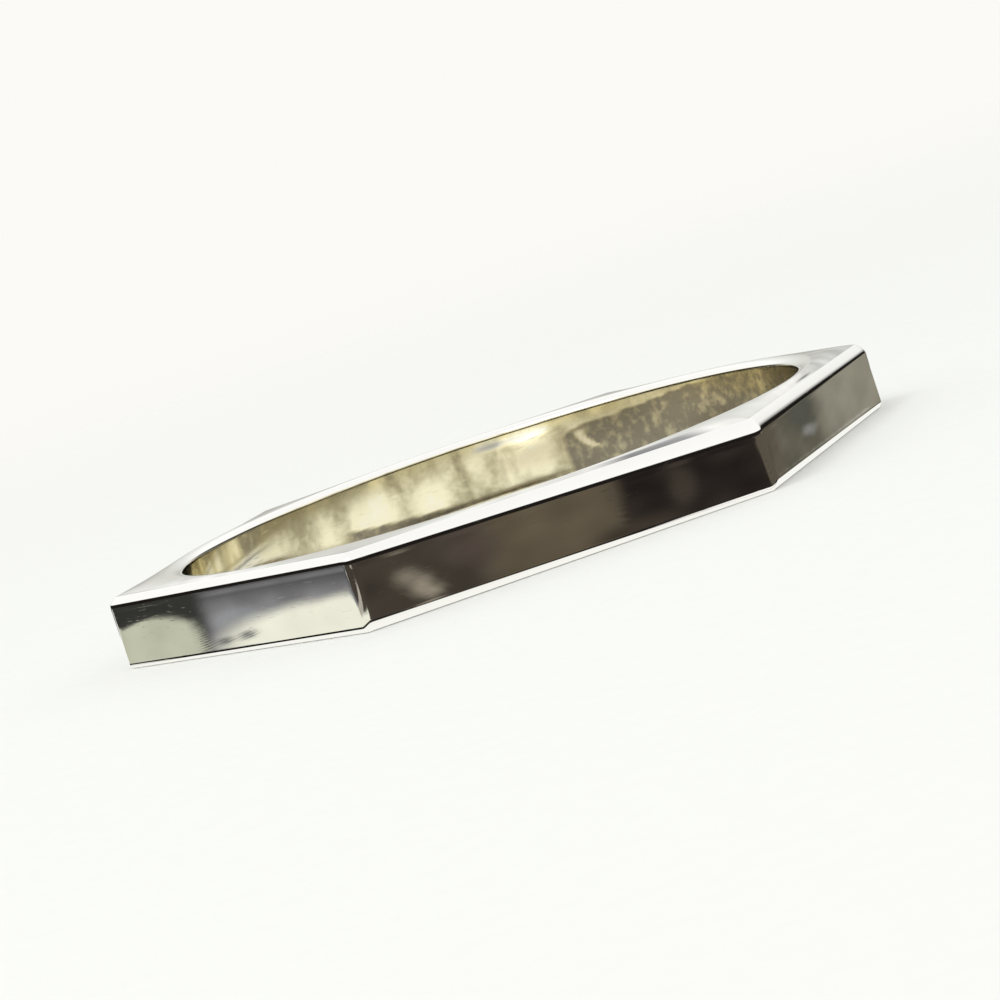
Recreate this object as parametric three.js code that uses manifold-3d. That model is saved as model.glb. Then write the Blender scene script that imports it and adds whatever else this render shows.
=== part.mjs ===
// A hexagonal finger ring in polished silver: a six-sided band with a round finger hole.
// The unit is the millimetre. The ring lies flat on z = 0 with +Z along the finger,
// +X from corner to corner and +Y from flat to flat, and the origin under the middle of the hole.

import * as THREE from 'three';
import { mergeVertices } from 'three/addons/utils/BufferGeometryUtils.js';
import Module from 'manifold-3d';

// Driving dimensions
const boreDiameter = 17.3;
const acrossFlats = 18.74;
const bandHeight = 2.05;
const cornerRadius = 0.3;
const outerBevelHeight = 0.3;
const outerBevelWidth = 0.24;
const innerEaseHeight = 0.14;
const innerEaseWidth = 0.34;

// How finely the round parts are divided
const cornerArcSteps = 3;
const bevelSteps = 4;
const easeSteps = 4;
const boreSides = 144;

// Derived sizes
const sideCount = 6;
const sideAngle = (2 * Math.PI) / sideCount;
const boreRadius = boreDiameter / 2;
const cornerDistance = acrossFlats / 2 / Math.cos(sideAngle / 2);
const cutterOverrun = 1;

const wasm = await Module();
wasm.setup();

// Turns a closed geometry into a solid that can be cut, without the slivers that a
// lathed surface has where it meets its axis.
function toSolid(geometry) {
  const bare = geometry.clone();
  bare.deleteAttribute('normal');
  bare.deleteAttribute('uv');
  const merged = mergeVertices(bare);
  const corners = merged.index.array;
  const triangles = [];
  for (let i = 0; i < corners.length; i += 3) {
    const [a, b, c] = corners.slice(i, i + 3);
    if (a !== b && b !== c && c !== a) {
      triangles.push(a, b, c);
    }
  }
  const mesh = new wasm.Mesh({
    numProp: 3,
    vertProperties: new Float32Array(merged.attributes.position.array),
    triVerts: new Uint32Array(triangles),
  });
  return new wasm.Manifold(mesh);
}

function toGeometry(solid) {
  const mesh = solid.getMesh();
  const geometry = new THREE.BufferGeometry();
  geometry.setAttribute('position', new THREE.BufferAttribute(mesh.vertProperties, 3));
  geometry.setIndex(new THREE.BufferAttribute(mesh.triVerts, 1));
  geometry.computeVertexNormals();
  return geometry;
}

// The band seen along the finger: six straight sides that meet in small round corners.
function hexagonOutline() {
  const outline = new THREE.Shape();
  const arcCentreDistance = cornerDistance - cornerRadius / Math.cos(sideAngle / 2);
  for (let corner = 0; corner < sideCount; corner += 1) {
    const direction = corner * sideAngle;
    outline.absarc(
      arcCentreDistance * Math.cos(direction),
      arcCentreDistance * Math.sin(direction),
      cornerRadius,
      direction - sideAngle / 2,
      direction + sideAngle / 2,
      false,
    );
  }
  outline.closePath();
  return outline;
}

// The six-sided blank, with the rounded bevel that runs along both outer edges.
function hexagonBlank() {
  const blank = new THREE.ExtrudeGeometry(hexagonOutline(), {
    depth: bandHeight - 2 * outerBevelHeight,
    curveSegments: cornerArcSteps,
    bevelEnabled: true,
    bevelThickness: outerBevelHeight,
    bevelSize: outerBevelWidth,
    bevelOffset: -outerBevelWidth,
    bevelSegments: bevelSteps,
  });
  blank.translate(0, 0, outerBevelHeight);
  return toSolid(blank);
}

// The tool that bores the finger hole: a straight cylinder that flares in a quarter
// ellipse at each rim, which leaves the soft inner edges that a finger slides over.
function boreCutter() {
  const lowerEase = [];
  for (let step = 0; step <= easeSteps; step += 1) {
    const turn = ((step / easeSteps) * Math.PI) / 2;
    const radius = boreRadius + innerEaseWidth * (1 - Math.sin(turn));
    const height = innerEaseHeight * (1 - Math.cos(turn));
    lowerEase.push(new THREE.Vector2(radius, height));
  }
  const upperEase = lowerEase.map((point) => new THREE.Vector2(point.x, bandHeight - point.y));
  const mouthRadius = boreRadius + innerEaseWidth;
  const profile = [
    new THREE.Vector2(0, -cutterOverrun),
    new THREE.Vector2(mouthRadius, -cutterOverrun),
    ...lowerEase,
    ...upperEase.reverse(),
    new THREE.Vector2(mouthRadius, bandHeight + cutterOverrun),
    new THREE.Vector2(0, bandHeight + cutterOverrun),
  ];
  const cutter = new THREE.LatheGeometry(profile, boreSides);
  cutter.rotateX(Math.PI / 2);
  return toSolid(cutter);
}

function polishedSilver() {
  return new THREE.MeshStandardMaterial({ color: 0xe9e7df, roughness: 0.15, metalness: 1 });
}

function ringBand() {
  const band = new THREE.Mesh(toGeometry(hexagonBlank().subtract(boreCutter())), polishedSilver());
  band.name = 'ring_band';
  return band;
}

const ring = new THREE.Group();
ring.add(ringBand());

export default ring;
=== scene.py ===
import math

import bpy
import numpy
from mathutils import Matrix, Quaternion, Vector, noise


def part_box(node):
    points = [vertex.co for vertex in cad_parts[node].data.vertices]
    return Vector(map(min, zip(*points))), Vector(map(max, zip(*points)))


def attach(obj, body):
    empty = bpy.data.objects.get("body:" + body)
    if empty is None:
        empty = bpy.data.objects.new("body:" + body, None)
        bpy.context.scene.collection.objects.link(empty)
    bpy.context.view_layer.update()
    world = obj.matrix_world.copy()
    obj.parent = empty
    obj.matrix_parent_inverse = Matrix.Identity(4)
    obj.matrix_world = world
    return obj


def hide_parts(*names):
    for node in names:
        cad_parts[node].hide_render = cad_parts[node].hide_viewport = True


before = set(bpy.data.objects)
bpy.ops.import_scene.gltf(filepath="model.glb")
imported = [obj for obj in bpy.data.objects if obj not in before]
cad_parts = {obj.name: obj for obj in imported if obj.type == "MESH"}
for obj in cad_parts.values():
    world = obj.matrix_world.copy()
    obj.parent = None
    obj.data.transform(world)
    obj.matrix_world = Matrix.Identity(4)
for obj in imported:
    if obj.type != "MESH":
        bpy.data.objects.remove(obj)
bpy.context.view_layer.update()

# The silver ring lies flat on a pale floor. Lengths are in metres, which MM turns
# millimetres into, except where a name ends in _MM or a comment says mm. +Z runs along the
# finger, +X to one corner of the band, and -Y roughly to the viewer.

MM = 0.001
# The scale that turns a node's metres into millimetres, and the whole range of a share
PER_MM = (1 / MM, 1 / MM, 1 / MM)
WHOLE = (0.0, 1.0)

# The band's sizes
band_low, band_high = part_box("ring_band")
BAND_HEIGHT = band_high.z - band_low.z
FLAT_DISTANCE = band_high.y
SIDE_COUNT = 6
SIDE_ANGLE = 2 * math.pi / SIDE_COUNT
CORNER_DISTANCE = FLAT_DISTANCE / math.cos(SIDE_ANGLE / 2)
CORNER_RADIUS = 0.3 * MM
BORE_RADIUS = 8.65 * MM
INNER_EASE_WIDTH = 0.34 * MM
INNER_EASE_HEIGHT = 0.14 * MM

# How round the edges are: 1 is a flat chamfer and 2 a quarter ellipse
BEVEL_ROUNDNESS = 1.3
EASE_ROUNDNESS = 1.9

# The edges were filed by hand, so each side has its own heights at its start and its end.
# Side 0 runs from the +X corner towards +Y, and the next ones follow anticlockwise.
# An upper bevel reaches from its crease with the rim down to the outer wall.
UPPER_BEVELS_MM = ((0.30, 0.28), (0.28, 0.26), (0.26, 0.22), (0.17, 0.18), (0.19, 0.35), (0.35, 0.28))
LOWER_BEVELS_MM = ((0.22, 0.26), (0.24, 0.22), (0.24, 0.2), (0.1, 0.14), (0.26, 0.1), (0.24, 0.16))
UPPER_BEVEL_WIDTH = 0.24 * MM
LOWER_BEVEL_WIDTH_SHARE = 0.8
# The outer wall turns in a little just under the upper bevel
SHOULDERS_MM = ((0.1, 0.1), (0.1, 0.1), (0.1, 0.12), (0.12, 0.12), (0.12, 0.12), (0.075, 0.05))
SHOULDER_SLOPE = 0.07
# How far the polished rim falls towards each corner, from the +X corner anticlockwise
CORNER_FALLS_MM = (0.19, 0.08, 0.08, 0.1, 0.0, 0.15)

# How finely the surface is divided
CORNER_STEPS = 10
SIDE_STEPS = 90
WALL_STEPS = 22
SHOULDER_STEPS = 8
BEVEL_STEPS = 14
RIM_STEPS = 8
EASE_STEPS = 10
BORE_STEPS = 24

# Unevenness left by hand finishing. A side stands highest in its middle, up it and along it.
SIDE_CROWN = 0.002 * MM
CROWN_ALONG_SHARE = 0.6
SIDE_RIPPLE = 0.002 * MM
BORE_RIPPLE = 0.010 * MM
RIM_RIPPLE = 0.004 * MM
RIPPLE_LENGTH = 2.6 * MM

# The viewer's place, from the middle of the band: angles in degrees, sensor and lens in mm
VIEW_AZIMUTH = -7.95
VIEW_ELEVATION = 6.15
VIEW_DISTANCE = 112.34 * MM
VIEW_ROLL = 18.34
SENSOR_WIDTH = 36.0
LENS = 151.0
VIEW_NEAR = 1 * MM
VIEW_FAR = 10.0

# What the viewer sees behind the floor
BACKGROUND = (0.965, 0.956, 0.922, 1.0)

# Colours of the silver and of the warm film inside the bore, which is partly tarnish and partly painted
# reflection
SILVER_BRIGHT = (0.975, 0.965, 0.925)
SILVER_DULL = (0.93, 0.915, 0.865)
SILVER_EDGE = (0.985, 0.98, 0.955)
FILM_AND_REFLECTION_PALE = (0.97, 0.90, 0.65)
FILM_AND_REFLECTION_OLIVE = (0.56, 0.505, 0.33)
FILM_AND_REFLECTION_HEAVY = (0.29, 0.26, 0.195)
# Painted grey reflection on the upper rim
RIM_REFLECTED_GREY = (0.25, 0.25, 0.25)

# The noises of the silver: clouds per mm, and how far streaks and scratches are stretched
# along the band and squeezed across it
CLOUDS_PER_MM = 0.9
CLOUD_DISTORTION = 0.6
FINE_CLOUDS_PER_MM = 4.5
STREAK_STRETCH = (0.3, 22.0, 1.0)
STREAK_SCALE = 1.6
SCRATCH_STRETCH = (0.8, 13.0, 1.0)
SCRATCH_SCALE = 2.2
SCRATCH_DISTORTION = 0.25
# Parts of a noise's range that are used: all but its ends, and for polish, streaks and scratches
NOISE_MIDDLE = (0.3, 0.7)
POLISH_RANGE = (0.35, 0.75)
STREAK_RANGE = (0.45, 0.75)
SCRATCH_RANGE = (0.66, 0.72)
# How the fine clouds thin and thicken the film
FILM_UNEVEN = (0.75, 1.1)
# Thickness of the film at which each of its colours starts to show and is full
PALE_FILM = (0.0, 0.2)
OLIVE_FILM = (0.25, 0.62)
HEAVY_FILM = (0.62, 0.9)
# How far worn edges take on their own colour
EDGE_SHARE = 0.7
# Roughness where the polish is clearest and cloudiest, and what the rest adds at most
POLISH_ROUGHNESS = (0.025, 0.06)
STREAK_ROUGHNESS = 0.03
FILM_ROUGHNESS = 0.16
SCRATCH_ROUGHNESS = 0.12
# Relief: its depth, and the share of it that each noise has
BUMP_DEPTH = 0.0035 * MM
STREAK_BUMP = 0.03
CLOUD_BUMP = 0.22
SCRATCH_BUMP = 0.05
FINE_CLOUD_BUMP = 0.06

# The film in the bore, partly tarnish and partly painted reflection, goes from 0, clean silver,
# to about 1. Here a direction is in degrees anticlockwise from +X, a height in mm above the
# floor, and a pair says where a soft change starts and where it ends.
# Sizes of the blotches in the film, and the weight of the finest ones
BLOTCH_WIDTH_MM = 0.62
BLOTCH_HEIGHT_MM = 1.2
BROAD_LENGTH = 2.6 * MM
BROAD_SHIFT = Vector((4.0, 0.0, 0.0))
FINE_LENGTH = 0.3 * MM
FINE_STRENGTH = 0.12
# The blotchy film, partly tarnish and partly painted reflection: its least thickness, what the blotches
# add, and how it thins at the left end
BLOTCHY_LEAST = 0.28
BLOTCHY_ADDED = 0.32
BLOTCHY_MIDDLE = 0.5
BLOTCHY_BLOTCH = 1.1
BLOTCHY_BROAD = 0.4
THINNING = 0.75
THINNING_DIRECTIONS = (112.0, 140.0)
# Places where the film is thinner and lighter, and where it is thicker and darker: direction and half
# angle, height and half height, and how strong the change is
LIGHTER_PLACES = (
    (75.0, 9.0, 1.7, 0.19, 1.0),
    (106.0, 5.0, 1.0, 0.7, 0.5),
    (94.5, 4.0, 0.8, 0.6, 0.4),
    (72.0, 4.5, 0.85, 0.5, 0.3),
)
DARKER_PLACES = (
    (101.0, 1.9, 1.0, 1.3, 0.22),
    (124.0, 5.0, 1.2, 0.9, 0.2),
    (87.5, 1.3, 1.0, 1.3, 0.2),
    (81.0, 1.6, 0.9, 0.8, 0.15),
)
LIGHTER_BLOTCH = 0.8
LIGHTER_EDGE = (0.1, 1.6)
DARKER_EDGE = (0.3, 1.3)
# A painted dark reflection of the shade by the foot of the far wall, laid as a thick line of film there,
# lowest at one direction
FOOT_DARK_REFLECTION = 0.9
FOOT_REFLECTION_MIDDLE = 90.0
FOOT_REFLECTION_HALF_ANGLES = (21.0, 25.0)
FOOT_REFLECTION_LOWEST = 75.0
FOOT_REFLECTION_LEAST_HEIGHT_MM = 0.26
FOOT_REFLECTION_RISE_MM = 0.36
FOOT_REFLECTION_RISE_ANGLE = 35.0
FOOT_REFLECTION_EDGE_MM = (-0.03, 0.05)
# The heavy patch of film, partly tarnish and partly painted dark reflection, which is taller and thinner
# away from its left end
PATCH_MIDDLE = 18.0
PATCH_HALF_ANGLE = 48.7
PATCH_MIDDLE_HEIGHT_MM = 0.7
PATCH_HALF_HEIGHT_MM = 0.85
PATCH_GROWTH_MM = 0.3
PATCH_GROWTH_DIRECTIONS = (56.0, 30.0)
PATCH_BOXINESS = 8
PATCH_EDGE = (0.985, 1.01)
PATCH_THICKNESS = 0.97
PATCH_THINNING = 0.08
PATCH_THINNING_DIRECTIONS = (55.0, 15.0)
PATCH_BLOTCH = 0.14
PATCH_FINE = 0.8
# The curved light mark in the patch
MARK_DIRECTION = 63.4
MARK_BEND = 2.4
MARK_BEND_TOP_MM = 1.3
MARK_BEND_HEIGHT_MM = 0.5
MARK_HALF_ANGLES = (0.5, 1.3)
MARK_MIDDLE_HEIGHT_MM = 1.05
MARK_HALF_HEIGHTS_MM = (0.22, 0.36)
MARK_STRENGTH = 0.55

# The upper rim's grey is a painted reflection. How grey the rim is: everywhere, on the broad land at the +X
# corner, and in a dark wedge on the middle side, given by shares along that side and across the rim
RIM_BLOTCH_LENGTH = 0.55 * MM
RIM_BLOTCH_SHIFT = Vector((0.0, 7.0, 0.0))
RIM_GREY = 0.02
RIM_GREY_BLOTCH = 0.16
LAND_DIRECTION = -5.0
LAND_HALF_ANGLES = (12.0, 30.0)
LAND_GREY = 0.3
LAND_GREY_BLOTCH = 0.35
WEDGE_START = (0.58, 0.74)
WEDGE_END = (0.84, 0.94)
WEDGE_ACROSS = (0.4, 0.7)
WEDGE_GREY = 0.95

# The floor, which fades out between two distances from the middle of the ring
FLOOR_LIGHT = (0.83, 0.84, 0.815)
FLOOR_DARK = (0.80, 0.81, 0.785)
FLOOR_FADE_START = 18 * MM
FLOOR_END = 150 * MM
FLOOR_GRAINS_PER_MM = 1.5

# The main light: its place and size in metres, and its power in watts
KEY_PLACE = Vector((-0.16, -0.12, 0.30))
KEY_SIZE = 0.22
KEY_ENERGY = 0.35

# The studio round the ring, by elevation in degrees. The back sky stands round one direction,
# and takes over between two cosines of the angle from it.
FRONT_SKY = (
    (-90.0, (0.5, 0.5, 0.47)),
    (-24.0, (0.5, 0.5, 0.47)),
    (-12.0, (0.012, 0.010, 0.009)),
    (9.0, (0.012, 0.010, 0.009)),
    (13.0, (0.9, 0.9, 0.88)),
    (20.0, (1.02, 1.02, 1.01)),
    (90.0, (0.97, 0.97, 0.97)),
)
BACK_SKY = (
    (-90.0, (0.5, 0.5, 0.47)),
    (-6.0, (0.5, 0.5, 0.47)),
    (1.0, (0.5, 0.5, 0.46)),
    (6.0, (0.70, 0.70, 0.66)),
    (12.0, (0.80, 0.81, 0.78)),
    (24.0, (1.05, 1.05, 1.04)),
    (90.0, (1.0, 1.0, 1.0)),
)
BACK_DIRECTION = (0.139, 0.990, 0.0)
BACK_EDGE = (0.78, 0.92)

# The sides that the viewer sees
LEFT_SIDE = 3
MIDDLE_SIDE = 4
RIGHT_SIDE = 5

# Cards on the floor, by the side that mirrors them. Each soft patch has its colour, its
# centre and half sizes (share along the side, height in mm), softness, boxiness and mottling.
# They are painted in this order, and later ones cover earlier ones. The middle side comes
# twice, because the cards of its neighbours reach into its own.
CARD_REACH = 36 * MM
CARD_STEP = 0.24 * MM
CARD_LIFT = 0.02 * MM
MIRRORED_FADE_START = 0.55
# Shares along a side between which its cards may lie
CARD_ALONG = (-4.0, 5.0)
SIDE_CARDS = (
    (MIDDLE_SIDE, (((0.055, 0.046, 0.037), (1.2, 1.9), (3.2, 2.15), 0.03, 8.0, 0.25),)),
    (LEFT_SIDE, (
        ((0.21, 0.21, 0.225), (0.75, 1.9), (0.85, 2.15), 0.03, 8.0, 0.3),
        ((0.095, 0.095, 0.1), (0.8, 3.0), (0.9, 1.55), 0.18, 6.0, 0.25),
        ((0.30, 0.31, 0.33), (0.52, 0.95), (0.1, 0.22), 0.6, 2.0, 0.2),
        ((0.87, 0.87, 0.76), (1.04, 0.0), (0.62, 1.06), 0.16, 2.4, 0.06),
        ((0.09, 0.09, 0.095), (0.445, 0.36), (0.026, 0.1), 0.5, 2.0, 0.1),
        ((0.11, 0.11, 0.115), (0.535, 0.4), (0.026, 0.11), 0.5, 2.0, 0.1),
        ((0.034, 0.035, 0.032), (0.0, 1.7), (0.385, 2.2), 0.05, 5.0, 0.15),
        ((0.53, 0.55, 0.44), (0.0, 0.1), (0.34, 0.96), 0.03, 4.0, 0.1),
        ((0.53, 0.55, 0.44), (0.17, 0.1), (0.175, 1.16), 0.03, 3.0, 0.1),
    )),
    (RIGHT_SIDE, (
        ((0.125, 0.118, 0.09), (0.15, 1.9), (1.0, 2.15), 0.03, 8.0, 0.3),
        ((0.27, 0.255, 0.205), (0.85, 1.7), (0.38, 1.9), 0.3, 3.0, 0.15),
        ((0.08, 0.08, 0.068), (0.33, 1.5), (0.1, 0.7), 0.5, 2.5, 0.2),
        ((0.10, 0.085, 0.065), (-1.4, 1.9), (1.5, 2.15), 0.03, 8.0, 0.3),
        ((0.26, 0.26, 0.25), (0.35, 0.75), (0.04, 0.15), 0.6, 2.0, 0.1),
    )),
    (MIDDLE_SIDE, (
        ((0.055, 0.046, 0.037), (0.5, 1.9), (0.53, 2.15), 0.02, 12.0, 0.25),
        ((0.45, 0.42, 0.37), (-0.42, 0.5), (0.12, 0.75), 0.3, 3.0, 0.1),
        ((0.11, 0.09, 0.062), (0.47, 1.5), (0.17, 1.7), 0.3, 4.0, 0.2),
        ((0.075, 0.058, 0.05), (0.28, 1.1), (0.06, 0.5), 0.6, 2.0, 0.2),
        ((0.24, 0.21, 0.165), (0.12, 1.0), (0.022, 0.22), 0.9, 2.0, 0.3),
        ((0.34, 0.30, 0.24), (0.145, 0.68), (0.022, 0.22), 0.9, 2.0, 0.3),
        ((0.28, 0.25, 0.20), (0.17, 0.46), (0.02, 0.14), 0.9, 2.0, 0.3),
        ((0.023, 0.018, 0.016), (0.83, 1.9), (0.185, 2.15), 0.04, 10.0, 0.5),
        ((0.05, 0.041, 0.033), (0.79, 0.9), (0.03, 0.5), 0.5, 2.0, 0.2),
        ((0.045, 0.036, 0.028), (0.66, 0.15), (0.1, 0.3), 0.6, 2.0, 0.3),
    )),
)
# How finely a side's cards are mottled along it and up it, and how far that moves their edges
SIDE_MOTTLE_ALONG = 26.0
SIDE_MOTTLE_UP = 3.0
SIDE_MOTTLE_TURN = 1.3
EDGE_SHIFT_ALONG = 0.01
EDGE_SHIFT_UP_MM = 0.05
# Bright card round the foot of the band, which the lower bevels mirror: it fades between two
# distances from the walls outside them, and between two others under the band
FOOT_COLOUR = (0.95, 0.95, 0.92)
FOOT_OUTER_EDGE_MM = (0.14, 0.7)
FOOT_INNER_EDGE_MM = (-0.8, -0.3)
FOOT_FURTHEST_IN_MM = -1.0
# Cards elsewhere: colour, centre in mm, half sizes in mm, turn in degrees, softness, mottling
PLAN_CARDS = (
    ((1.15, 1.11, 1.02), (-5.2, 5.6), (4.4, 2.3), 38.0, 0.2, 0.1),
    ((0.74, 0.715, 0.655), (-3.6, 0.5), (3.6, 4.4), 0.0, 0.25, 0.15),
    ((0.14, 0.11, 0.075), (0.7, 6.5), (1.5, 1.0), 0.0, 0.2, 0.2),
    ((1.3, 1.3, 1.2), (-3.8, -6.2), (2.0, 1.5), -24.0, 0.15, 0.1),
    ((0.07, 0.06, 0.05), (1.0, 20.0), (5.5, 9.0), 8.0, 0.1, 0.3),
    ((0.22, 0.22, 0.22), (14.5, 20.0), (6.0, 6.0), 30.0, 0.2, 0.2),
    ((0.13, 0.12, 0.10), (-16.0, 14.0), (7.5, 4.5), -35.0, 0.12, 0.3),
    ((0.05, 0.043, 0.036), (21.0, 11.5), (4.0, 3.5), 20.0, 0.12, 0.3),
)
PLAN_MOTTLE_LENGTH = 2.5 * MM
PLAN_MOTTLE_TURN = 0.4
PLAN_BOXINESS = 4
PLAN_EDGE_SHIFT = 0.06
# The least cover that colours are divided by, for places with no card
SMALLEST_COVER = 1e-4
# Mottling: how many crossing waves it has, and the turn from each to the next in radians
MOTTLE_WAVES = 5
MOTTLE_TURN = 2.4
# From each wave to the next it gets finer, shifted and weaker, and their sum is scaled down
WAVE_RATE = 0.8
WAVE_RATE_STEP = 0.45
WAVE_SHIFT = 1.7
WAVE_FADE = 0.4
MOTTLE_SUM = 2.4


def smooth(value):
    return value * value * (3 - 2 * value)


def soft_step(value, low, high):
    """A smooth step from 0 at one value to 1 at another, which may be the smaller one."""
    return smooth(numpy.clip((value - low) / (high - low), 0.0, 1.0))


def kept_within(value, edge):
    """1 up to the start of an edge, and 0 past its end."""
    return 1 - soft_step(value, *edge)


def toward(direction):
    """The unit vector in plan at a direction in radians."""
    return Vector((math.cos(direction), math.sin(direction), 0.0))


def outline_stations():
    """Places round the band's outer outline: point, outward direction, side and share along it."""
    stations = []
    arc_centre_distance = CORNER_DISTANCE - CORNER_RADIUS / math.cos(SIDE_ANGLE / 2)
    for side in range(SIDE_COUNT):
        corner_direction = side * SIDE_ANGLE
        centre = toward(corner_direction) * arc_centre_distance
        for step in range(CORNER_STEPS):
            turn = (step / CORNER_STEPS - 0.5) * SIDE_ANGLE
            outward = toward(corner_direction + turn)
            before = side + step / CORNER_STEPS - 0.5
            stations.append((centre + outward * CORNER_RADIUS, outward, before, None))
        outward = toward(corner_direction + SIDE_ANGLE / 2)
        next_centre = toward(corner_direction + SIDE_ANGLE) * arc_centre_distance
        start = centre + outward * CORNER_RADIUS
        end = next_centre + outward * CORNER_RADIUS
        for step in range(SIDE_STEPS):
            share = step / SIDE_STEPS
            stations.append((start.lerp(end, share), outward, side + 0.5, share))
    return stations


def bevel_height(heights, station):
    """A bevel's or shoulder's height at a station: straight along a side, blended round a corner."""
    _, _, place, along = station
    side = math.floor(place)
    if place - side == 0.5 and along is not None:
        start, end = heights[side % SIDE_COUNT]
        return (start + (end - start) * along) * MM
    before = heights[math.floor(place - 0.5) % SIDE_COUNT][1]
    after = heights[math.floor(place + 0.5) % SIDE_COUNT][0]
    blend = smooth(place + 0.5 - math.floor(place + 0.5))
    return (before + (after - before) * blend) * MM


def rim_fall(station):
    """How far the rim's outer crease lies under the rim's highest line at a station."""
    _, _, place, along = station
    if along is None:
        return CORNER_FALLS_MM[math.floor(place + 0.5) % SIDE_COUNT] * MM
    side = math.floor(place)
    start = CORNER_FALLS_MM[side % SIDE_COUNT]
    end = CORNER_FALLS_MM[(side + 1) % SIDE_COUNT]
    return (start + (end - start) * along) * MM


def section_steps():
    """One loop round the cross-section: up the wall, over the rim, down the bore, back below."""
    parts = (
        ("wall", WALL_STEPS),
        ("upper_shoulder", SHOULDER_STEPS),
        ("upper_bevel", BEVEL_STEPS),
        ("upper_rim", RIM_STEPS),
        ("upper_ease", EASE_STEPS),
        ("bore", BORE_STEPS),
        ("lower_ease", EASE_STEPS),
        ("lower_rim", RIM_STEPS),
        ("lower_bevel", BEVEL_STEPS),
    )
    return [(part, step / count) for part, count in parts for step in range(count)]


def rounded(share, roundness):
    """A quarter of a superellipse from (0, 0), where it is upright, to (1, 1), where it is level."""
    turn = share * math.pi / 2
    return 1 - math.cos(turn) ** (2 / roundness), math.sin(turn) ** (2 / roundness)


def section_point(part, share, station):
    """Where a step of the cross-section lies at a station, and the direction it faces."""
    point, outward, _, _ = station
    radial = Vector((point.x, point.y, 0.0)).normalized()
    upper = part.startswith("upper")
    up = Vector((0.0, 0.0, 1.0))
    upper_height = bevel_height(UPPER_BEVELS_MM, station)
    shoulder_height = bevel_height(SHOULDERS_MM, station)
    shoulder_depth = SHOULDER_SLOPE * shoulder_height
    lower_height = bevel_height(LOWER_BEVELS_MM, station)
    fall = rim_fall(station)
    if part.startswith("lower"):
        share = 1 - share
    if part == "wall":
        top = BAND_HEIGHT - fall - upper_height - shoulder_height
        return point + up * (lower_height + share * (top - lower_height)), outward
    if part == "upper_shoulder":
        height = BAND_HEIGHT - fall - upper_height - shoulder_height * (1 - share)
        return point - outward * (shoulder_depth * share ** 2) + up * height, outward
    if part == "bore":
        height = BAND_HEIGHT - INNER_EASE_HEIGHT - share * (BAND_HEIGHT - 2 * INNER_EASE_HEIGHT)
        return radial * BORE_RADIUS + up * height, -radial
    tall, bevel_width, setback = upper_height, UPPER_BEVEL_WIDTH, shoulder_depth
    if not upper:
        tall, bevel_width, setback = lower_height, lower_height * LOWER_BEVEL_WIDTH_SHARE, 0.0
        fall = 0.0
    if part.endswith("bevel"):
        across, rise = rounded(share, BEVEL_ROUNDNESS)
        drop = fall + tall * (1 - rise)
        place_in_plan = point - outward * (setback * (1 - across) + bevel_width * across)
        facing = (outward * tall + up * bevel_width).normalized()
    elif part.endswith("ease"):
        inward, lift = rounded(1 - share, EASE_ROUNDNESS)
        drop = INNER_EASE_HEIGHT * (1 - lift)
        place_in_plan = radial * (BORE_RADIUS + INNER_EASE_WIDTH * inward)
        facing = up
    else:
        outer_end = point - outward * bevel_width
        inner_end = radial * (BORE_RADIUS + INNER_EASE_WIDTH)
        drop = fall * (1 - share) ** 2
        place_in_plan = outer_end.lerp(inner_end, share)
        facing = up
    if upper:
        return place_in_plan + up * (BAND_HEIGHT - drop), facing
    return place_in_plan + up * drop, facing.reflect(up)


def unevenness(part, share, station, position):
    """How far hand finishing took the surface back at a place, in metres."""
    ripple = noise.noise(position / RIPPLE_LENGTH) * 0.5 + 0.5
    if part == "wall":
        along = 1.0 if station[3] is None else 2 * station[3] - 1
        crown = (2 * share - 1) ** 2 + CROWN_ALONG_SHARE * along ** 2
        return SIDE_CROWN * crown + SIDE_RIPPLE * ripple
    if part == "bore":
        return -BORE_RIPPLE * ripple
    if part == "upper_rim":
        return RIM_RIPPLE * ripple
    return 0.0


def squared_distance(direction, height, place):
    """How far a spot is from a lighter or darker place's middle, squared: 1 at its edge."""
    middle, half_angle, middle_height, half_height, _ = place
    return ((direction - middle) / half_angle) ** 2 + ((height - middle_height) / half_height) ** 2


def blotchy_film_and_reflection(direction, height, blotch, broad, fine):
    """The thin blotchy film nearly everywhere, partly tarnish and partly painted reflection, with its
    darker and lighter places.
    """
    uneven = min(1.0, max(0.0, BLOTCHY_MIDDLE + BLOTCHY_BLOTCH * blotch + BLOTCHY_BROAD * broad + fine))
    blotchy = BLOTCHY_LEAST + BLOTCHY_ADDED * uneven
    blotchy = blotchy * (1 - THINNING * soft_step(direction, *THINNING_DIRECTIONS))
    for place in DARKER_PLACES:
        away = squared_distance(direction, height, place) + blotch
        blotchy += place[-1] * kept_within(away, DARKER_EDGE)
    for place in LIGHTER_PLACES:
        away = squared_distance(direction, height, place) + LIGHTER_BLOTCH * blotch
        blotchy *= 1 - place[-1] * kept_within(away, LIGHTER_EDGE)
    return blotchy


def foot_dark_reflection_share(direction, height):
    """How far a spot lies in the painted dark reflection, a thick line of film along the foot of the far
    wall.
    """
    rise = ((direction - FOOT_REFLECTION_LOWEST) / FOOT_REFLECTION_RISE_ANGLE) ** 2
    top = FOOT_REFLECTION_LEAST_HEIGHT_MM + FOOT_REFLECTION_RISE_MM * rise
    edge = (top + FOOT_REFLECTION_EDGE_MM[0], top + FOOT_REFLECTION_EDGE_MM[1])
    return kept_within(height, edge) * kept_within(abs(direction - FOOT_REFLECTION_MIDDLE), FOOT_REFLECTION_HALF_ANGLES)


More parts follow.
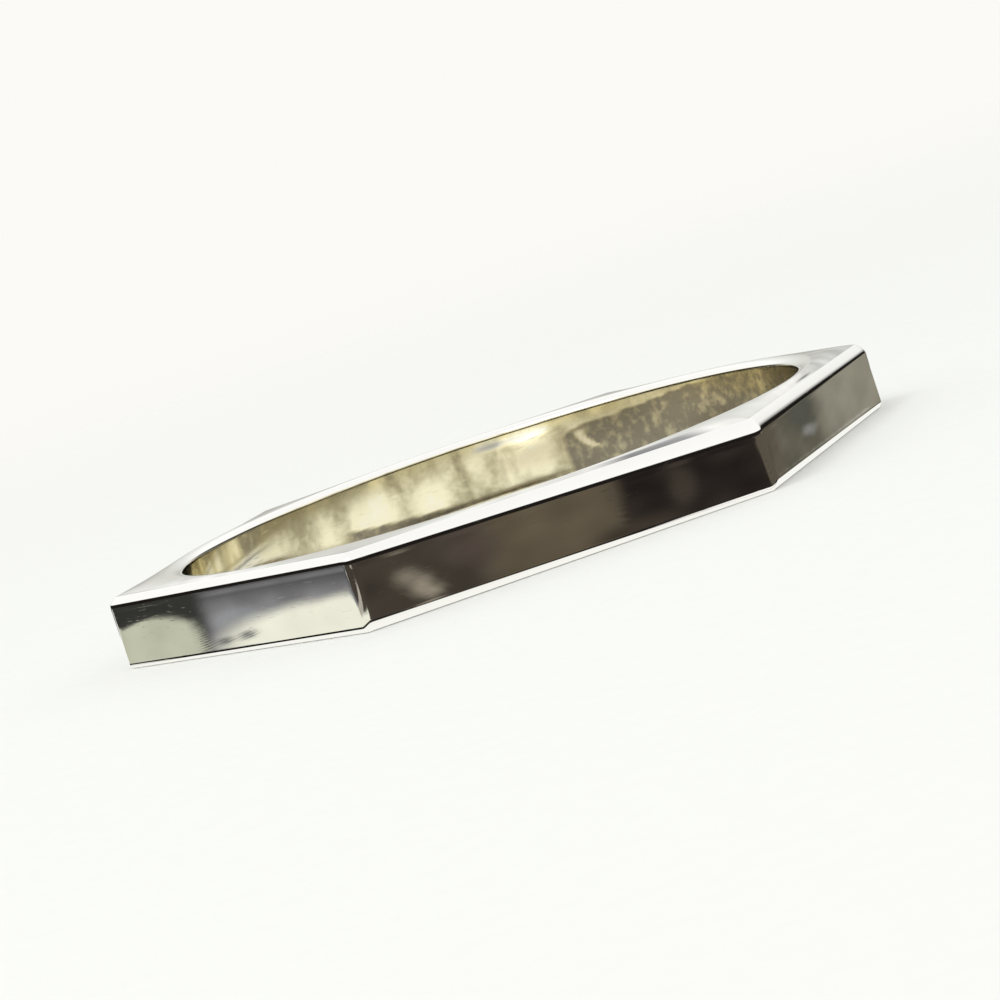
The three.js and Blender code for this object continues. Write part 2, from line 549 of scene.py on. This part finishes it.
def patch_share(direction, height):
    """How far a spot lies in the heavy patch, a rounded box."""
    across = abs((direction - PATCH_MIDDLE) / PATCH_HALF_ANGLE)
    growth = PATCH_GROWTH_MM * soft_step(direction, *PATCH_GROWTH_DIRECTIONS)
    up = abs((height - PATCH_MIDDLE_HEIGHT_MM) / (PATCH_HALF_HEIGHT_MM + growth))
    reach = (across ** PATCH_BOXINESS + up ** PATCH_BOXINESS) ** (1 / PATCH_BOXINESS)
    return kept_within(reach, PATCH_EDGE)


def mark_share(direction, height):
    """How far a spot lies in the curved light mark."""
    bend = max(0.0, (MARK_BEND_TOP_MM - height) / MARK_BEND_HEIGHT_MM) ** 2
    away = abs(direction - (MARK_DIRECTION - MARK_BEND * bend))
    up = abs(height - MARK_MIDDLE_HEIGHT_MM)
    return kept_within(away, MARK_HALF_ANGLES) * kept_within(up, MARK_HALF_HEIGHTS_MM)


def bore_film_and_reflection(part, position):
    """How thick the warm film lies at a place, partly tarnish and partly painted reflection: blotchy in the
    bore, with a painted dark reflection along the far wall's foot and one heavy patch.
    """
    if part != "bore":
        return 0.0
    direction = math.degrees(math.atan2(position.y, position.x))
    height = position.z / MM
    blotch_place = Vector(
        (position.x / BLOTCH_WIDTH_MM, position.y / BLOTCH_WIDTH_MM, position.z / BLOTCH_HEIGHT_MM)
    )
    blotch = noise.noise(blotch_place / MM)
    broad = noise.noise(position / BROAD_LENGTH + BROAD_SHIFT)
    fine = noise.noise(position / FINE_LENGTH) * FINE_STRENGTH
    film_and_reflection = blotchy_film_and_reflection(direction, height, blotch, broad, fine)
    # A painted dark reflection of shade along the foot of the far wall
    film_and_reflection += foot_dark_reflection_share(direction, height) * (FOOT_DARK_REFLECTION - film_and_reflection)
    heavy = PATCH_THICKNESS - PATCH_THINNING * soft_step(direction, *PATCH_THINNING_DIRECTIONS)
    heavy += PATCH_BLOTCH * blotch + PATCH_FINE * fine - MARK_STRENGTH * mark_share(direction, height)
    return film_and_reflection + patch_share(direction, height) * (heavy - film_and_reflection)


def painted_rim_reflection(part, share, station, position):
    """How grey the upper rim is, a painted reflection of its surroundings: mottled, with a broad grey land
    and a dark wedge.
    """
    if part != "upper_rim":
        return 0.0
    _, _, place, along = station
    direction = math.degrees(math.atan2(position.y, position.x))
    blotch = noise.noise(position / RIM_BLOTCH_LENGTH + RIM_BLOTCH_SHIFT) + 0.5
    rim_reflection = RIM_GREY + RIM_GREY_BLOTCH * blotch
    land = kept_within(abs(direction - LAND_DIRECTION), LAND_HALF_ANGLES)
    rim_reflection += land * (LAND_GREY + LAND_GREY_BLOTCH * blotch)
    if math.floor(place) == MIDDLE_SIDE and along is not None:
        wedge = soft_step(along, *WEDGE_START) * kept_within(along, WEDGE_END)
        rim_reflection += wedge * kept_within(share, WEDGE_ACROSS) * WEDGE_GREY
    return min(1.0, rim_reflection)


def lay_out_surface(mesh, vertices, columns, rows):
    """Gives the grid its own coordinates in millimetres: along the band, and round its section."""
    perimeter = CORNER_DISTANCE * SIDE_COUNT / MM
    around = [0.0]
    for row in range(rows):
        here, following = vertices[row], vertices[(row + 1) % rows]
        around.append(around[-1] + (following - here).length / MM)
    layer = mesh.uv_layers.new(name="band")
    places = []
    for column in range(columns):
        left = column / columns * perimeter
        right = (column + 1) / columns * perimeter
        for row in range(rows):
            low, high = around[row], around[row + 1]
            places.extend((left, low, right, low, right, high, left, high))
    layer.data.foreach_set("uv", places)


def band_mesh():
    """The band as one closed grid of quads, with the surface's own coordinates and zones."""
    stations = outline_stations()
    steps = section_steps()
    columns, rows = len(stations), len(steps)
    vertices = []
    film_and_reflection = []
    rim_reflection = []
    edge_zone = []
    for station in stations:
        for part, share in steps:
            position, facing = section_point(part, share, station)
            vertices.append(position - facing * unevenness(part, share, station, position))
            # The warm film is partly tarnish and partly painted reflection; the rim's grey is a painted
            # reflection
            film_and_reflection.append(bore_film_and_reflection(part, position))
            rim_reflection.append(painted_rim_reflection(part, share, station, position))
            edge_zone.append(1.0 if part.endswith(("bevel", "ease")) else 0.0)
    faces = []
    for column in range(columns):
        following = (column + 1) % columns
        for row in range(rows):
            above = (row + 1) % rows
            faces.append(
                (
                    column * rows + row,
                    following * rows + row,
                    following * rows + above,
                    column * rows + above,
                )
            )
    mesh = bpy.data.meshes.new("silver_band")
    mesh.from_pydata(vertices, [], faces)
    mesh.shade_smooth()
    for name, values in (("film_and_reflection", film_and_reflection), ("rim_reflection", rim_reflection), ("edge_zone", edge_zone)):
        attribute = mesh.attributes.new(name, "FLOAT", "POINT")
        attribute.data.foreach_set("value", values)
    lay_out_surface(mesh, vertices, columns, rows)
    return mesh


def add_object(name, data):
    made = bpy.data.objects.new(name, data)
    bpy.context.scene.collection.objects.link(made)
    return made


def node(tree, kind, place, **values):
    """Adds a shader node and sets its inputs by name."""
    made = tree.nodes.new(kind)
    made.location = place
    for name, value in values.items():
        made.inputs[name.replace("_", " ")].default_value = value
    return made


def new_material(name):
    material = bpy.data.materials.new(name)
    material.use_nodes = True
    material.node_tree.nodes.clear()
    return material, material.node_tree


def scaled_map(tree, source, scale, place):
    """Coordinates from a socket, stretched by a scale for each axis."""
    mapping = node(tree, "ShaderNodeMapping", place, Scale=scale)
    tree.links.new(source, mapping.inputs["Vector"])
    return mapping.outputs["Vector"]


def noise_value(tree, vector, scale, detail, place, distortion=0.0):
    texture = node(tree, "ShaderNodeTexNoise", place, Scale=scale, Detail=detail, Distortion=distortion)
    tree.links.new(vector, texture.inputs["Vector"])
    return texture.outputs["Fac"]


def ranged(tree, value, old, new, place):
    """A value moved from one range to another, and held inside it."""
    remap = node(tree, "ShaderNodeMapRange", place)
    tree.links.new(value, remap.inputs["Value"])
    remap.inputs["From Min"].default_value, remap.inputs["From Max"].default_value = old
    remap.inputs["To Min"].default_value, remap.inputs["To Max"].default_value = new
    return remap.outputs["Result"]


def combined(tree, operation, first, second, place):
    """Two values put together by a sum, product or other operation; the second may be a number."""
    made = node(tree, "ShaderNodeMath", place)
    made.operation = operation
    tree.links.new(first, made.inputs[0])
    if isinstance(second, (int, float)):
        made.inputs[1].default_value = second
    else:
        tree.links.new(second, made.inputs[1])
    return made.outputs["Value"]


def colour_mix(tree, factor, first, second, place):
    """Two colours mixed by a factor; each may be a socket or a plain colour.

    The Mix node has its colours at inputs 6 and 7 and at output 2.
    """
    mix = node(tree, "ShaderNodeMix", place)
    mix.data_type = "RGBA"
    tree.links.new(factor, mix.inputs[0])
    for socket, value in ((mix.inputs[6], first), (mix.inputs[7], second)):
        if isinstance(value, tuple):
            socket.default_value = (*value, 1.0)
        else:
            tree.links.new(value, socket)
    return mix.outputs[2]


def attribute_value(tree, name, place):
    attribute = node(tree, "ShaderNodeAttribute", place)
    attribute.attribute_name = name
    return attribute.outputs["Fac"]


def show_mixed(tree, output_kind, factor, first, second):
    """Ends a node tree in two shaders: the first where the factor is 0, the second where it is 1."""
    output = node(tree, output_kind, (900, 0))
    mix = node(tree, "ShaderNodeMixShader", (600, 0))
    tree.links.new(factor, mix.inputs["Fac"])
    tree.links.new(first, mix.inputs[1])
    tree.links.new(second, mix.inputs[2])
    tree.links.new(mix.outputs["Shader"], output.inputs["Surface"])


def silver_material():
    """Polished silver, with faint scratches, cloudy polish, a warm film inside the bore that is partly
    tarnish and partly painted reflection, and a painted grey reflection on the upper rim.
    """
    material, tree = new_material("polished_silver")
    link = tree.links.new
    output = node(tree, "ShaderNodeOutputMaterial", (1400, 0))
    shader = node(tree, "ShaderNodeBsdfPrincipled", (1100, 0), Metallic=1.0)
    link(shader.outputs["BSDF"], output.inputs["Surface"])

    coordinates = node(tree, "ShaderNodeTexCoord", (-1600, 0))
    in_mm = scaled_map(tree, coordinates.outputs["Object"], PER_MM, (-1400, 100))
    along_band = coordinates.outputs["UV"]
    film_and_reflection = attribute_value(tree, "film_and_reflection", (-1400, 500))
    edge = attribute_value(tree, "edge_zone", (-1400, 700))
    rim_reflection = attribute_value(tree, "rim_reflection", (-1400, 900))

    cloud = noise_value(tree, in_mm, CLOUDS_PER_MM, 4.0, (-1100, 250), CLOUD_DISTORTION)
    fine_cloud = noise_value(tree, in_mm, FINE_CLOUDS_PER_MM, 3.0, (-1100, 50))
    streak_map = scaled_map(tree, along_band, STREAK_STRETCH, (-1200, -200))
    streaks = noise_value(tree, streak_map, STREAK_SCALE, 4.0, (-1000, -200))
    scratch_map = scaled_map(tree, along_band, SCRATCH_STRETCH, (-1200, -450))
    scratches = noise_value(
        tree, scratch_map, SCRATCH_SCALE, 2.0, (-1000, -450), SCRATCH_DISTORTION
    )
    thin_scratches = ranged(tree, scratches, SCRATCH_RANGE, WHOLE, (-800, -450))

    tone = ranged(tree, cloud, NOISE_MIDDLE, WHOLE, (-900, 250))
    colour = colour_mix(tree, tone, SILVER_BRIGHT, SILVER_DULL, (-650, 300))
    uneven = ranged(tree, fine_cloud, NOISE_MIDDLE, FILM_UNEVEN, (-900, 50))
    film_and_reflection = combined(tree, "MULTIPLY", film_and_reflection, uneven, (-700, 100))
    # The film's colours, partly tarnish and partly painted reflection of the bore's surroundings
    for film_range, film_colour, across in (
        (PALE_FILM, FILM_AND_REFLECTION_PALE, -500),
        (OLIVE_FILM, FILM_AND_REFLECTION_OLIVE, -300),
        (HEAVY_FILM, FILM_AND_REFLECTION_HEAVY, -100),
    ):
        share = ranged(tree, film_and_reflection, film_range, WHOLE, (across, 100))
        colour = colour_mix(tree, share, colour, film_colour, (across + 150, 300))
    # The upper rim's grey is a painted reflection
    colour = colour_mix(tree, rim_reflection, colour, RIM_REFLECTED_GREY, (250, 300))
    edge_share = ranged(tree, edge, WHOLE, (0.0, EDGE_SHARE), (250, 500))
    colour = colour_mix(tree, edge_share, colour, SILVER_EDGE, (450, 300))
    link(colour, shader.inputs["Base Color"])

    roughness = ranged(tree, cloud, POLISH_RANGE, POLISH_ROUGHNESS, (-650, -150))
    for value, value_range, most, across in (
        (streaks, STREAK_RANGE, STREAK_ROUGHNESS, -400),
        (film_and_reflection, WHOLE, FILM_ROUGHNESS, -200),
        (thin_scratches, WHOLE, SCRATCH_ROUGHNESS, 0),
    ):
        added = ranged(tree, value, value_range, (0.0, most), (across, -400))
        roughness = combined(tree, "ADD", roughness, added, (across, -200))
    link(roughness, shader.inputs["Roughness"])

    height = combined(tree, "MULTIPLY", streaks, STREAK_BUMP, (-400, -650))
    for operation, value, depth, across in (
        ("ADD", cloud, CLOUD_BUMP, -200),
        ("SUBTRACT", thin_scratches, SCRATCH_BUMP, 0),
        ("ADD", fine_cloud, FINE_CLOUD_BUMP, 200),
    ):
        relief = combined(tree, "MULTIPLY", value, depth, (across, -850))
        height = combined(tree, operation, height, relief, (across, -650))
    bump = node(tree, "ShaderNodeBump", (500, -600), Strength=1.0, Distance=BUMP_DEPTH)
    link(height, bump.inputs["Height"])
    link(bump.outputs["Normal"], shader.inputs["Normal"])
    return material


def make_band():
    band = add_object("silver_band", band_mesh())
    band.data.materials.append(silver_material())
    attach(band, "root")
    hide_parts("ring_band")


def viewer_place():
    """The viewer's place, and the direction from the band to it."""
    azimuth, elevation = math.radians(VIEW_AZIMUTH), math.radians(VIEW_ELEVATION)
    back = Vector(
        (
            math.sin(azimuth) * math.cos(elevation),
            -math.cos(azimuth) * math.cos(elevation),
            math.sin(elevation),
        )
    )
    return Vector((0.0, 0.0, BAND_HEIGHT / 2)) + back * VIEW_DISTANCE, back


def make_camera():
    camera = add_object("camera", bpy.data.cameras.new("camera"))
    camera.data.sensor_width = SENSOR_WIDTH
    camera.data.lens = LENS
    camera.data.clip_start = VIEW_NEAR
    camera.data.clip_end = VIEW_FAR
    camera.location, back = viewer_place()
    camera.rotation_mode = "QUATERNION"
    roll = Quaternion((0.0, 0.0, 1.0), math.radians(-VIEW_ROLL))
    camera.rotation_quaternion = (-back).to_track_quat("-Z", "Y") @ roll
    bpy.context.scene.camera = camera


def floor_material():
    """Pale matt stone that fades out far away, and sooner in reflections, past the cards."""
    material, tree = new_material("pale_floor")
    shader = node(tree, "ShaderNodeBsdfDiffuse", (300, 0))
    clear = node(tree, "ShaderNodeBsdfTransparent", (300, -200))
    coordinates = node(tree, "ShaderNodeTexCoord", (-900, 0)).outputs["Object"]
    in_mm = scaled_map(tree, coordinates, PER_MM, (-600, 300))
    grain = noise_value(tree, in_mm, FLOOR_GRAINS_PER_MM, 5.0, (-400, 300))
    tone = colour_mix(tree, grain, FLOOR_LIGHT, FLOOR_DARK, (0, 200))
    tree.links.new(tone, shader.inputs["Color"])

    distance = node(tree, "ShaderNodeVectorMath", (-400, 0))
    distance.operation = "LENGTH"
    tree.links.new(coordinates, distance.inputs[0])
    away = distance.outputs["Value"]
    fade = ranged(tree, away, (FLOOR_FADE_START, FLOOR_END), WHOLE, (-100, 0))
    fade.node.interpolation_type = "SMOOTHSTEP"
    card_edge = (CARD_REACH * MIRRORED_FADE_START, CARD_REACH)
    mirrored_fade = ranged(tree, away, card_edge, WHOLE, (-100, -300))
    mirrored = node(tree, "ShaderNodeLightPath", (-100, -600)).outputs["Is Glossy Ray"]
    mirrored_fade = combined(tree, "MULTIPLY", mirrored_fade, mirrored, (100, -300))
    fade = combined(tree, "MAXIMUM", fade, mirrored_fade, (300, -400))
    show_mixed(tree, "ShaderNodeOutputMaterial", fade, shader.outputs["BSDF"], clear.outputs["BSDF"])
    return material


def make_floor():
    mesh = bpy.data.meshes.new("floor")
    half = FLOOR_END
    corners = [(-half, -half, 0), (half, -half, 0), (half, half, 0), (-half, half, 0)]
    mesh.from_pydata(corners, [], [(0, 1, 2, 3)])
    mesh.materials.append(floor_material())
    floor = add_object("floor", mesh)


def side_frame(side):
    """A side's start and end corners in plan, and the direction it faces."""
    start, end = side * SIDE_ANGLE, (side + 1) * SIDE_ANGLE
    facing = toward(start + SIDE_ANGLE / 2)
    return toward(start) * CORNER_DISTANCE, toward(end) * CORNER_DISTANCE, facing


def mottle(first, second, turn):
    """Smooth uneven values between about -1 and 1, made of crossing waves."""
    total = 0.0
    for wave in range(1, MOTTLE_WAVES + 1):
        angle = wave * MOTTLE_TURN + turn
        reach = first * math.cos(angle) + second * math.sin(angle)
        rate = WAVE_RATE + WAVE_RATE_STEP * wave
        total = total + numpy.sin(reach * rate + WAVE_SHIFT * wave + turn) / (1 + WAVE_FADE * wave)
    return total / MOTTLE_SUM


def paint(colours, covers, colour, share, mottling):
    """Lays a colour over what is there, by its share at each place."""
    share = share[:, None]
    tone = numpy.array(colour)[None, :] * mottling[:, None]
    colours += (tone - colours) * share
    covers += (1 - covers) * share


def paint_mirrored(side, patches, places, colours, covers):
    """Paints cards where the viewer sees them in a side, at shares along it and heights on it."""
    start, end, facing = (numpy.array(value) for value in side_frame(side))
    viewer = numpy.array(viewer_place()[0])
    behind = viewer - facing * (2 * ((viewer - start) @ facing))
    rays = places - behind
    gone = ((start - behind) @ facing) / (rays @ facing)
    met = behind + rays * gone[:, None]
    along = (met - start) @ (end - start) / ((end - start) @ (end - start))
    height = met[:, 2] / MM
    in_front = (gone > 0) & (gone < 1) & (along > CARD_ALONG[0]) & (along < CARD_ALONG[1])
    ripple = mottle(along * SIDE_MOTTLE_ALONG, height * SIDE_MOTTLE_UP, side * SIDE_MOTTLE_TURN)
    for colour, centre, half, softness, boxiness, mottling in patches:
        across = numpy.abs((along + EDGE_SHIFT_ALONG * ripple - centre[0]) / half[0])
        up = numpy.abs((height + EDGE_SHIFT_UP_MM * ripple - centre[1]) / half[1])
        reach = (across ** boxiness + up ** boxiness) ** (1 / boxiness)
        share = numpy.where(in_front, kept_within(reach, (1 - softness, 1 + softness)), 0.0)
        paint(colours, covers, colour, share, 1 + mottling * ripple)


def paint_plan(places, colours, covers):
    """Paints the cards that are placed in plan."""
    waves = places / PLAN_MOTTLE_LENGTH
    ripple = mottle(waves[:, 0], waves[:, 1], PLAN_MOTTLE_TURN)
    for colour, centre, half, turn, softness, mottling in PLAN_CARDS:
        across = places[:, 0] / MM - centre[0]
        up = places[:, 1] / MM - centre[1]
        cosine, sine = math.cos(math.radians(turn)), math.sin(math.radians(turn))
        first = (across * cosine + up * sine) / half[0]
        second = (up * cosine - across * sine) / half[1]
        reach = (first ** PLAN_BOXINESS + second ** PLAN_BOXINESS) ** (1 / PLAN_BOXINESS)
        share = kept_within(reach + PLAN_EDGE_SHIFT * ripple, (1 - softness, 1 + softness))
        paint(colours, covers, colour, share, 1 + mottling * ripple)


def paint_foot(places, colours, covers):
    """Paints the bright card round the foot of the band."""
    out = numpy.full(len(places), FOOT_FURTHEST_IN_MM)
    for side in range(SIDE_COUNT):
        start, _, facing = (numpy.array(value) for value in side_frame(side))
        out = numpy.maximum(out, (places - start) @ facing / MM)
    share = kept_within(out, FOOT_OUTER_EDGE_MM) * soft_step(out, *FOOT_INNER_EDGE_MM)
    paint(colours, covers, FOOT_COLOUR, share, numpy.ones(len(places)))


def card_mesh():
    """A flat grid just over the floor, with the cards' colours and covers painted on its points."""
    count = int(round(2 * CARD_REACH / CARD_STEP)) + 1
    line = numpy.linspace(-CARD_REACH, CARD_REACH, count)
    across, up = numpy.meshgrid(line, line)
    places = numpy.stack((across.ravel(), up.ravel(), numpy.zeros(count * count)), axis=1)
    colours = numpy.zeros((len(places), 3))
    covers = numpy.zeros((len(places), 1))
    paint_plan(places, colours, covers)
    for side, patches in SIDE_CARDS:
        paint_mirrored(side, patches, places, colours, covers)
    paint_foot(places, colours, covers)
    colours /= numpy.maximum(covers, SMALLEST_COVER)
    places[:, 2] = CARD_LIFT
    first = (numpy.arange(count - 1)[:, None] * count + numpy.arange(count - 1)[None, :]).ravel()
    faces = numpy.stack((first, first + 1, first + count + 1, first + count), axis=1)
    mesh = bpy.data.meshes.new("cards")
    mesh.from_pydata(places.tolist(), [], faces.tolist())
    attribute = mesh.attributes.new("tone", "FLOAT_COLOR", "POINT")
    attribute.data.foreach_set("color", numpy.hstack((colours, covers)).ravel())
    return mesh


def card_material():
    """Glows in the painted colour where a card covers the floor, and is clear elsewhere."""
    material, tree = new_material("cards")
    glow = node(tree, "ShaderNodeEmission", (300, 0), Strength=1.0)
    clear = node(tree, "ShaderNodeBsdfTransparent", (300, -200))
    tone = node(tree, "ShaderNodeAttribute", (0, 0))
    tone.attribute_name = "tone"
    tree.links.new(tone.outputs["Color"], glow.inputs["Color"])
    cover = tone.outputs["Alpha"]
    show_mixed(tree, "ShaderNodeOutputMaterial", cover, clear.outputs["BSDF"], glow.outputs["Emission"])
    return material


def make_cards():
    """Coloured cards that lie flat on the floor and only show as reflections in the silver."""
    cards = add_object("cards", card_mesh())
    cards.data.materials.append(card_material())
    cards.visible_camera = False
    cards.visible_diffuse = False
    cards.visible_shadow = False
    cards.visible_transmission = False


def elevation_ramp(tree, value, stops, place):
    """Colours by elevation, from a value that runs from 0 straight down to 1 straight up."""
    ramp = node(tree, "ShaderNodeValToRGB", place)
    tree.links.new(value, ramp.inputs["Fac"])
    while len(ramp.color_ramp.elements) < len(stops):
        ramp.color_ramp.elements.new(0.5)
    for element, (elevation, colour) in zip(ramp.color_ramp.elements, stops):
        element.position = (math.sin(math.radians(elevation)) + 1) / 2
        element.color = (*colour, 1.0)
    return ramp.outputs["Color"]


def make_world():
    """A pale studio: bright above, with a dark low band round the front and a lighter one behind."""
    world = bpy.data.worlds.new("studio")
    bpy.context.scene.world = world
    world.use_nodes = True
    tree = world.node_tree
    tree.nodes.clear()
    link = tree.links.new
    coordinates = node(tree, "ShaderNodeTexCoord", (-900, 0)).outputs["Generated"]
    axes = node(tree, "ShaderNodeSeparateXYZ", (-700, 0))
    link(coordinates, axes.inputs["Vector"])
    height = ranged(tree, axes.outputs["Z"], (-1.0, 1.0), WHOLE, (-450, 0))
    front = elevation_ramp(tree, height, FRONT_SKY, (-200, 0))
    behind = elevation_ramp(tree, height, BACK_SKY, (-200, -250))
    towards = node(tree, "ShaderNodeVectorMath", (-700, 250))
    towards.operation = "DOT_PRODUCT"
    towards.inputs[1].default_value = BACK_DIRECTION
    link(coordinates, towards.inputs[0])
    back_share = ranged(tree, towards.outputs["Value"], BACK_EDGE, WHOLE, (-450, 250))

    around = node(tree, "ShaderNodeBackground", (300, -50), Strength=1.0)
    link(colour_mix(tree, back_share, front, behind, (50, -100)), around.inputs["Color"])
    seen = node(tree, "ShaderNodeBackground", (300, 150), Color=BACKGROUND, Strength=1.0)
    direct = node(tree, "ShaderNodeLightPath", (0, 400)).outputs["Is Camera Ray"]
    show_mixed(
        tree, "ShaderNodeOutputWorld", direct, around.outputs["Background"], seen.outputs["Background"]
    )


def make_key_light():
    """One large soft light above and to the left of the viewer."""
    light = bpy.data.lights.new("key", "AREA")
    light.shape = "DISK"
    light.size = KEY_SIZE
    light.energy = KEY_ENERGY
    key = add_object("key", light)
    key.location = KEY_PLACE
    key.rotation_mode = "QUATERNION"
    key.rotation_quaternion = (-key.location).to_track_quat("-Z", "Y")


def make_look():
    scene = bpy.context.scene
    scene.view_settings.view_transform = "Standard"
    scene.view_settings.look = "None"
    scene.view_settings.exposure = 0.0


make_band()
make_camera()
make_floor()
make_cards()
make_world()
make_key_light()
make_look()
